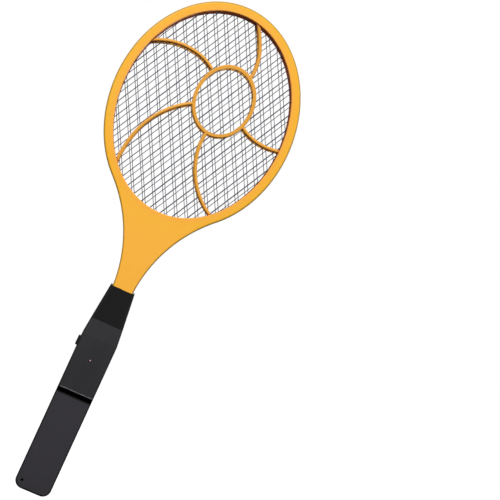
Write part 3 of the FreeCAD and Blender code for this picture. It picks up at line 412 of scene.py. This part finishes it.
def frame_glow(look):
    """Painted warm glow in the depths of the opening's wall."""
    out = opening_distance(look)
    depth = look.math("ABSOLUTE", look.axis("Y"))
    wall = look.math("MULTIPLY", opening_wall(look, out), look.span(depth, 8.0 * MM, 6.0 * MM))
    return look.math("MULTIPLY", wall, WALL_GLOW)


def spacer_glow(look):
    """The same painted warm glow on the spacers, a little uneven."""
    return look.span(look.noise(60.0, 2.0), 0.35, 0.65, 0.035, 0.06)


GROOVE_HIGH = 6 * MM            # the groove's height above the cover's top edge
LIP_HIGH = 1 * MM               # the strip above the groove that gets a painted highlight
GROOVE_SINK = 3 * MM            # depths below the cover's face up to here belong to the groove


def groove_shade(look, tone):
    """The grip groove above the cover: painted shade blackens its floor towards the top, and a painted
    highlight lightens its upper lip.
    """
    cover_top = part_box("battery_cover")[1].z
    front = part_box("battery_cover")[0].y
    height = look.axis("Z")
    depth = look.axis("Y")
    groove_top = cover_top + GROOVE_HIGH
    band = look.math("MULTIPLY", look.span(height, cover_top, cover_top + 1.6 * MM),
                     look.span(height, groove_top + 0.2 * MM, groove_top - 0.2 * MM))
    sunk = look.span(depth, front + 0.25 * MM, front + 0.7 * MM)
    sunk = look.math("MULTIPLY", sunk,
                     look.span(depth, front + GROOVE_SINK + 0.2 * MM, front + GROOVE_SINK - 0.2 * MM))
    # painted shade: the groove's floor turned black, with no sheen
    look.matt_shade = look.math("MULTIPLY", band, sunk)
    tone = look.mix(look.matt_shade, tone, GROOVE_SHADE_BLACK)
    # painted highlight: a pale strip along the groove's upper lip
    lip = look.math("MULTIPLY", look.span(height, groove_top - 0.1 * MM, groove_top),
                    look.span(height, groove_top + LIP_HIGH, groove_top + 0.5 * LIP_HIGH))
    lip = look.math("MULTIPLY", lip, look.span(depth, front + 0.3 * MM, front + 0.1 * MM))
    patchy = look.span(look.noise(300.0, 3.0), 0.35, 0.65, 0.45, 1.0)
    tone = look.mix(look.math("MULTIPLY", lip, patchy), tone, LIP_HIGHLIGHT)
    return handle_shade(look, tone)


LOOKS = {
    "frame_plastic": moulded("frame_orange", ORANGE, ORANGE_DRIFT, ORANGE_WORN, rough=0.36, grain=1500.0,
                             grain_depth=0.006 * MM, specular=0.3, wear=0.4, recess_shade=(ORANGE_SHADE_DEEP, 0.5),
                             shade=frame_shade, glow=frame_glow),
    "spacer_plastic": moulded("spacer_brown", srgb(158, 66, 16), srgb(138, 54, 12), srgb(176, 88, 30),
                              rough=0.7, specular=0.08, wear=0.3, glow=spacer_glow),
    "shell_plastic": moulded("shell_black", srgb(44, 43, 47), srgb(38, 38, 41), srgb(80, 80, 83),
                             rim_shade=(srgb(14, 14, 14), 0.75), rough=0.46, specular=0.3, wear=0.55,
                             wear_radius=0.6 * MM, shade=groove_shade),
    "cover_plastic": moulded("cover_black", srgb(52, 50, 55), srgb(46, 44, 48), srgb(86, 84, 90),
                             rim_shade=(srgb(14, 14, 14), 0.75), rough=0.48, specular=0.3, wear=0.55,
                             wear_radius=0.6 * MM, shade=handle_shade),
    "collar_plastic": moulded("collar_black", srgb(12, 12, 13), srgb(9, 9, 10), srgb(50, 50, 52),
                              rim_shade=(srgb(8, 8, 8), 0.6), rough=0.5, specular=0.2, wear=0.4,
                              shade=handle_shade),
    "button_plastic": moulded("button_black", srgb(22, 22, 24), srgb(17, 17, 19), srgb(66, 66, 70), rough=0.4,
                              specular=0.3, wear=0.5, wear_radius=0.35 * MM),
    "switch_plastic": moulded("switch_black", srgb(26, 26, 28), srgb(20, 20, 22), srgb(60, 60, 62),
                              rough=0.45),
    "plunger_plastic": moulded("plunger_ivory", srgb(214, 208, 192), srgb(200, 192, 172), srgb(232, 228, 216),
                               rough=0.4),
    "net_wire": net_wire(),
    "screw_steel": metal("screw_zinc", srgb(176, 178, 180), srgb(128, 130, 134), 0.32),
    "spring_steel": metal("spring_nickel", srgb(206, 206, 208), srgb(158, 158, 162), 0.24),
    "terminal_brass": metal("terminal_brass", srgb(206, 170, 96), srgb(164, 128, 62), 0.3),
    "lead_red": rubber_lead("lead_red", srgb(168, 24, 20), srgb(128, 16, 14)),
    "lead_black": rubber_lead("lead_black", srgb(26, 26, 28), srgb(44, 44, 46)),
    "lamp": lamp(),
    "board": board(),
    "ferrite": speckled("ferrite_grey", srgb(52, 52, 56), srgb(72, 72, 76), 0.6),
    "winding_tape": speckled("winding_tape", srgb(206, 168, 40), srgb(224, 190, 70), 0.35),
    "capacitor_dip": speckled("capacitor_dip", srgb(118, 36, 18), srgb(140, 52, 30), 0.25),
    "resistor_body": speckled("resistor_body", srgb(206, 178, 128), srgb(186, 156, 104), 0.4,
                              bands=(srgb(92, 46, 24), 280.0)),
    "diode_body": speckled("diode_body", srgb(22, 22, 24), srgb(36, 36, 38), 0.35,
                           bands=(srgb(190, 190, 190), 160.0)),
}
OWN_LOOKS = {
    "aa_battery_left": cell_sleeve("aa_battery_left", True),
    "aa_battery_right": cell_sleeve("aa_battery_right", False),
}

for part in frame["record"]["subparts"]:
    node = part["node"]
    shown = frame["nodes"][node]
    chosen = OWN_LOOKS.get(node) or LOOKS[part["material_slot"]]
    for slot in shown.material_slots:
        slot.material = chosen


# ---- wire nets ----

NET_ANGLE = math.radians(61.8)
NET_PITCH = 9.38 * MM
WIRE_R = 0.33 * MM
CENTRE_WIRE_R = 0.4 * MM
WIRE_SIDES = 8
STEPS_PER_CROSSING = 6
FEWEST_STEPS = 12
SHORTEST_WIRE = 24 * MM
MOST_BOW = 0.25 * MM            # how far a wire's middle may stray from straight
MOST_TONE_SHIFT = 0.16          # how far a wire's own tone may stray from its direction's
NET_GAP = 0.2 * MM              # between the wires' ends and the spacer's outer edge
NET_SEMI_X = SPACER_SEMI_X - NET_GAP
NET_SEMI_Z = SPACER_SEMI_Z - NET_GAP


def wire_family(angle, phase):
    """Every straight wire of one direction: its index, foot point, and start and end along it."""
    along = (math.cos(angle), math.sin(angle))
    across = (-along[1], along[0])
    furthest = math.hypot(NET_SEMI_X * across[0], NET_SEMI_Z * across[1])
    wires = []
    lowest = math.ceil((-furthest - phase) / NET_PITCH)
    highest = math.floor((furthest - phase) / NET_PITCH)
    for index in range(lowest, highest + 1):
        offset = phase + index * NET_PITCH
        foot = (across[0] * offset, across[1] * offset)
        a = (along[0] / NET_SEMI_X) ** 2 + (along[1] / NET_SEMI_Z) ** 2
        b = along[0] * foot[0] / NET_SEMI_X ** 2 + along[1] * foot[1] / NET_SEMI_Z ** 2
        c = (foot[0] / NET_SEMI_X) ** 2 + (foot[1] / NET_SEMI_Z) ** 2 - 1
        root = b * b - a * c
        if root <= 0 or 2 * math.sqrt(root) / a < SHORTEST_WIRE:
            continue
        wires.append((index, foot, (-b - math.sqrt(root)) / a, (-b + math.sqrt(root)) / a))
    return along, across, wires


def add_tube(vertices, faces, points, radius):
    """A closed round tube through a list of points."""
    first = len(vertices)
    count = len(points)
    for i, point in enumerate(points):
        ahead = (points[min(i + 1, count - 1)] - points[max(i - 1, 0)]).normalized()
        side = ahead.cross(Vector((0, 1, 0))).normalized()
        lift = side.cross(ahead)
        for k in range(WIRE_SIDES):
            turn = 2 * math.pi * k / WIRE_SIDES
            vertices.append(point + (side * math.cos(turn) + lift * math.sin(turn)) * radius)
    for i in range(count - 1):
        for k in range(WIRE_SIDES):
            a, b = first + i * WIRE_SIDES + k, first + i * WIRE_SIDES + (k + 1) % WIRE_SIDES
            faces.append((a, b, b + WIRE_SIDES, a + WIRE_SIDES))
    last = first + (count - 1) * WIRE_SIDES
    faces.append(tuple(first + k for k in reversed(range(WIRE_SIDES))))
    faces.append(tuple(last + k for k in range(WIRE_SIDES)))
    return len(faces)


def woven_net(name, node, radius, phases, tones, seed):
    """One net of wires that pass over and under each other. phases and tones hold one entry per direction."""
    low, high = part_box(node)
    depth = (low.y + high.y) / 2
    dice = random.Random(seed)
    vertices, faces, shades = [], [], []
    angles = (NET_ANGLE, math.pi - NET_ANGLE)
    woven = len(phases) == 2
    for number, phase in enumerate(phases):
        along, across, wires = wire_family(angles[number], phase)
        other_across = (-math.sin(angles[1 - number]), math.cos(angles[1 - number]))
        rate = along[0] * other_across[0] + along[1] * other_across[1]
        sign = 1 if number == 0 else -1
        for index, foot, start, end in wires:
            bow = dice.uniform(-MOST_BOW, MOST_BOW)
            steps = max(FEWEST_STEPS, round((end - start) / (NET_PITCH / abs(rate)) * STEPS_PER_CROSSING))
            points = []
            for k in range(steps + 1):
                share = k / steps
                t = start + (end - start) * share
                sway = bow * math.sin(math.pi * share)
                x = foot[0] + along[0] * t + across[0] * sway
                z = foot[1] + along[1] * t + across[1] * sway
                rise = 0.0
                if woven:
                    crossed = (x * other_across[0] + z * other_across[1] - phases[1 - number]) / NET_PITCH
                    rise = sign * radius * math.cos(math.pi * (crossed + index))
                points.append(Vector((HEAD_CENTRE.x + x, depth + rise, HEAD_CENTRE.z + z)))
            before = len(faces)
            after = add_tube(vertices, faces, points, radius)
            shade = min(1.0, max(0.0, tones[number] + dice.uniform(-MOST_TONE_SHIFT, MOST_TONE_SHIFT)))
            shades += [shade] * (after - before)
    mesh = bpy.data.meshes.new(name)
    mesh.from_pydata(vertices, [], faces)
    mesh.polygons.foreach_set("use_smooth", [True] * len(faces))
    mesh.attributes.new("wire_tone", "FLOAT", "FACE").data.foreach_set("value", shades)
    mesh.materials.append(LOOKS["net_wire"])
    mesh.update()
    net = bpy.data.objects.new(name, mesh)
    bpy.context.scene.collection.objects.link(net)
    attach(net, "racket")
    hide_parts(node)


woven_net("front_woven_net", "front_mesh", WIRE_R, phases=(-0.6 * MM, 0.7 * MM), tones=(0.15, 0.4), seed=11)
woven_net("rear_woven_net", "rear_mesh", WIRE_R, phases=(5.2 * MM, 2.8 * MM), tones=(0.3, 0.6), seed=12)
woven_net("live_centre_net", "centre_mesh", CENTRE_WIRE_R, phases=(-0.3 * MM,), tones=(0.3,), seed=13)


# ---- stage, light and camera ----

FLOOR_Z = -0.32
FLOOR_REACH = 60.0
FLOOR_GLOW = 0.72               # lifts the floor to nearly white


def floor():
    """A wide pale sheet well below the racket, so that it reads as held in the air."""
    mesh = bpy.data.meshes.new("studio_floor")
    signs = ((-1, -1), (1, -1), (1, 1), (-1, 1))
    corners = [(x * FLOOR_REACH, y * FLOOR_REACH, FLOOR_Z) for x, y in signs]
    mesh.from_pydata(corners, [], [(0, 1, 2, 3)])
    sheet = bpy.data.objects.new("studio_floor", mesh)
    bpy.context.scene.collection.objects.link(sheet)
    look = Look("pale_floor")
    tone = look.mix(look.noise(2.0, 3.0), (0.36, 0.36, 0.36, 1), (0.34, 0.34, 0.34, 1))
    diffuse = look.add("ShaderNodeBsdfDiffuse", {"Color": tone})
    glow = look.add("ShaderNodeEmission", {"Color": (1, 1, 1, 1), "Strength": FLOOR_GLOW})
    both = look.add("ShaderNodeAddShader", {0: diffuse.outputs[0], 1: glow.outputs[0]})
    look.add("ShaderNodeOutputMaterial", {"Surface": both.outputs[0]})
    mesh.materials.append(look.material)
    sheet.visible_diffuse = False
    sheet.visible_glossy = False


TENT_DIM = 0.06
TENT_BRIGHT = 1.05


def world():
    """White to the camera; to everything else a soft tent, bright above and dim below."""
    sky = bpy.data.worlds.new("soft_tent")
    bpy.context.scene.world = sky
    sky.use_nodes = True
    tree = sky.node_tree
    tree.nodes.clear()
    direction = tree.nodes.new("ShaderNodeTexCoord")
    split = tree.nodes.new("ShaderNodeSeparateXYZ")
    ramp = tree.nodes.new("ShaderNodeMapRange")
    ramp.interpolation_type = "SMOOTHSTEP"
    levels = {"From Min": -0.45, "From Max": 0.55, "To Min": TENT_DIM, "To Max": TENT_BRIGHT}
    for key, value in levels.items():
        ramp.inputs[key].default_value = value
    tent = tree.nodes.new("ShaderNodeBackground")
    plain = tree.nodes.new("ShaderNodeBackground")
    plain.inputs["Color"].default_value = (1, 1, 1, 1)
    plain.inputs["Strength"].default_value = 1.0
    path = tree.nodes.new("ShaderNodeLightPath")
    mixer = tree.nodes.new("ShaderNodeMixShader")
    out = tree.nodes.new("ShaderNodeOutputWorld")
    link = tree.links.new
    link(direction.outputs["Generated"], split.inputs[0])
    link(split.outputs["Z"], ramp.inputs["Value"])
    link(ramp.outputs["Result"], tent.inputs["Strength"])
    link(path.outputs["Is Camera Ray"], mixer.inputs[0])
    link(tent.outputs[0], mixer.inputs[1])
    link(plain.outputs[0], mixer.inputs[2])
    link(mixer.outputs[0], out.inputs["Surface"])


def soft_light(name, place, target, size, power):
    """A square area light that points at its target."""
    data = bpy.data.lights.new(name, "AREA")
    data.shape = "SQUARE"
    data.size = size
    data.energy = power
    lamp_object = bpy.data.objects.new(name, data)
    lamp_object.location = place
    lamp_object.rotation_euler = (Vector(target) - Vector(place)).to_track_quat("-Z", "Y").to_euler()
    bpy.context.scene.collection.objects.link(lamp_object)


def camera():
    """The eye stands a little left of the handle and below the head, rolled so the racket leans right."""
    eye = Vector((-0.0131, -1.0, 0.2705))
    aim = Vector((0.09, -0.0085, 0.28015))
    roll = math.radians(-24.6)
    ahead = (aim - eye).normalized()
    level = ahead.cross(Vector((0, 0, 1))).normalized()
    upright = level.cross(ahead)
    right = level * math.cos(roll) - upright * math.sin(roll)
    up = level * math.sin(roll) + upright * math.cos(roll)
    data = bpy.data.cameras.new("photo_camera")
    data.sensor_width = 36.0
    data.lens = 78.75
    data.clip_start, data.clip_end = 0.05, 200.0
    eye_object = bpy.data.objects.new("photo_camera", data)
    eye_object.matrix_world = Matrix((
        (right.x, up.x, -ahead.x, eye.x),
        (right.y, up.y, -ahead.y, eye.y),
        (right.z, up.z, -ahead.z, eye.z),
        (0, 0, 0, 1)))
    bpy.context.scene.collection.objects.link(eye_object)
    bpy.context.scene.camera = eye_object


floor()
world()
soft_light("key_upper_left", (-0.9, -1.5, 1.5), (0, 0, 0.3), 1.4, 30.0)
soft_light("fill_right", (1.6, -1.2, 0.7), (0, 0, 0.25), 1.6, 10.0)
soft_light("fill_back", (0.9, 1.6, 1.1), (0, 0, 0.25), 1.8, 16.0)
camera()
bpy.context.scene.view_settings.view_transform = "Standard"
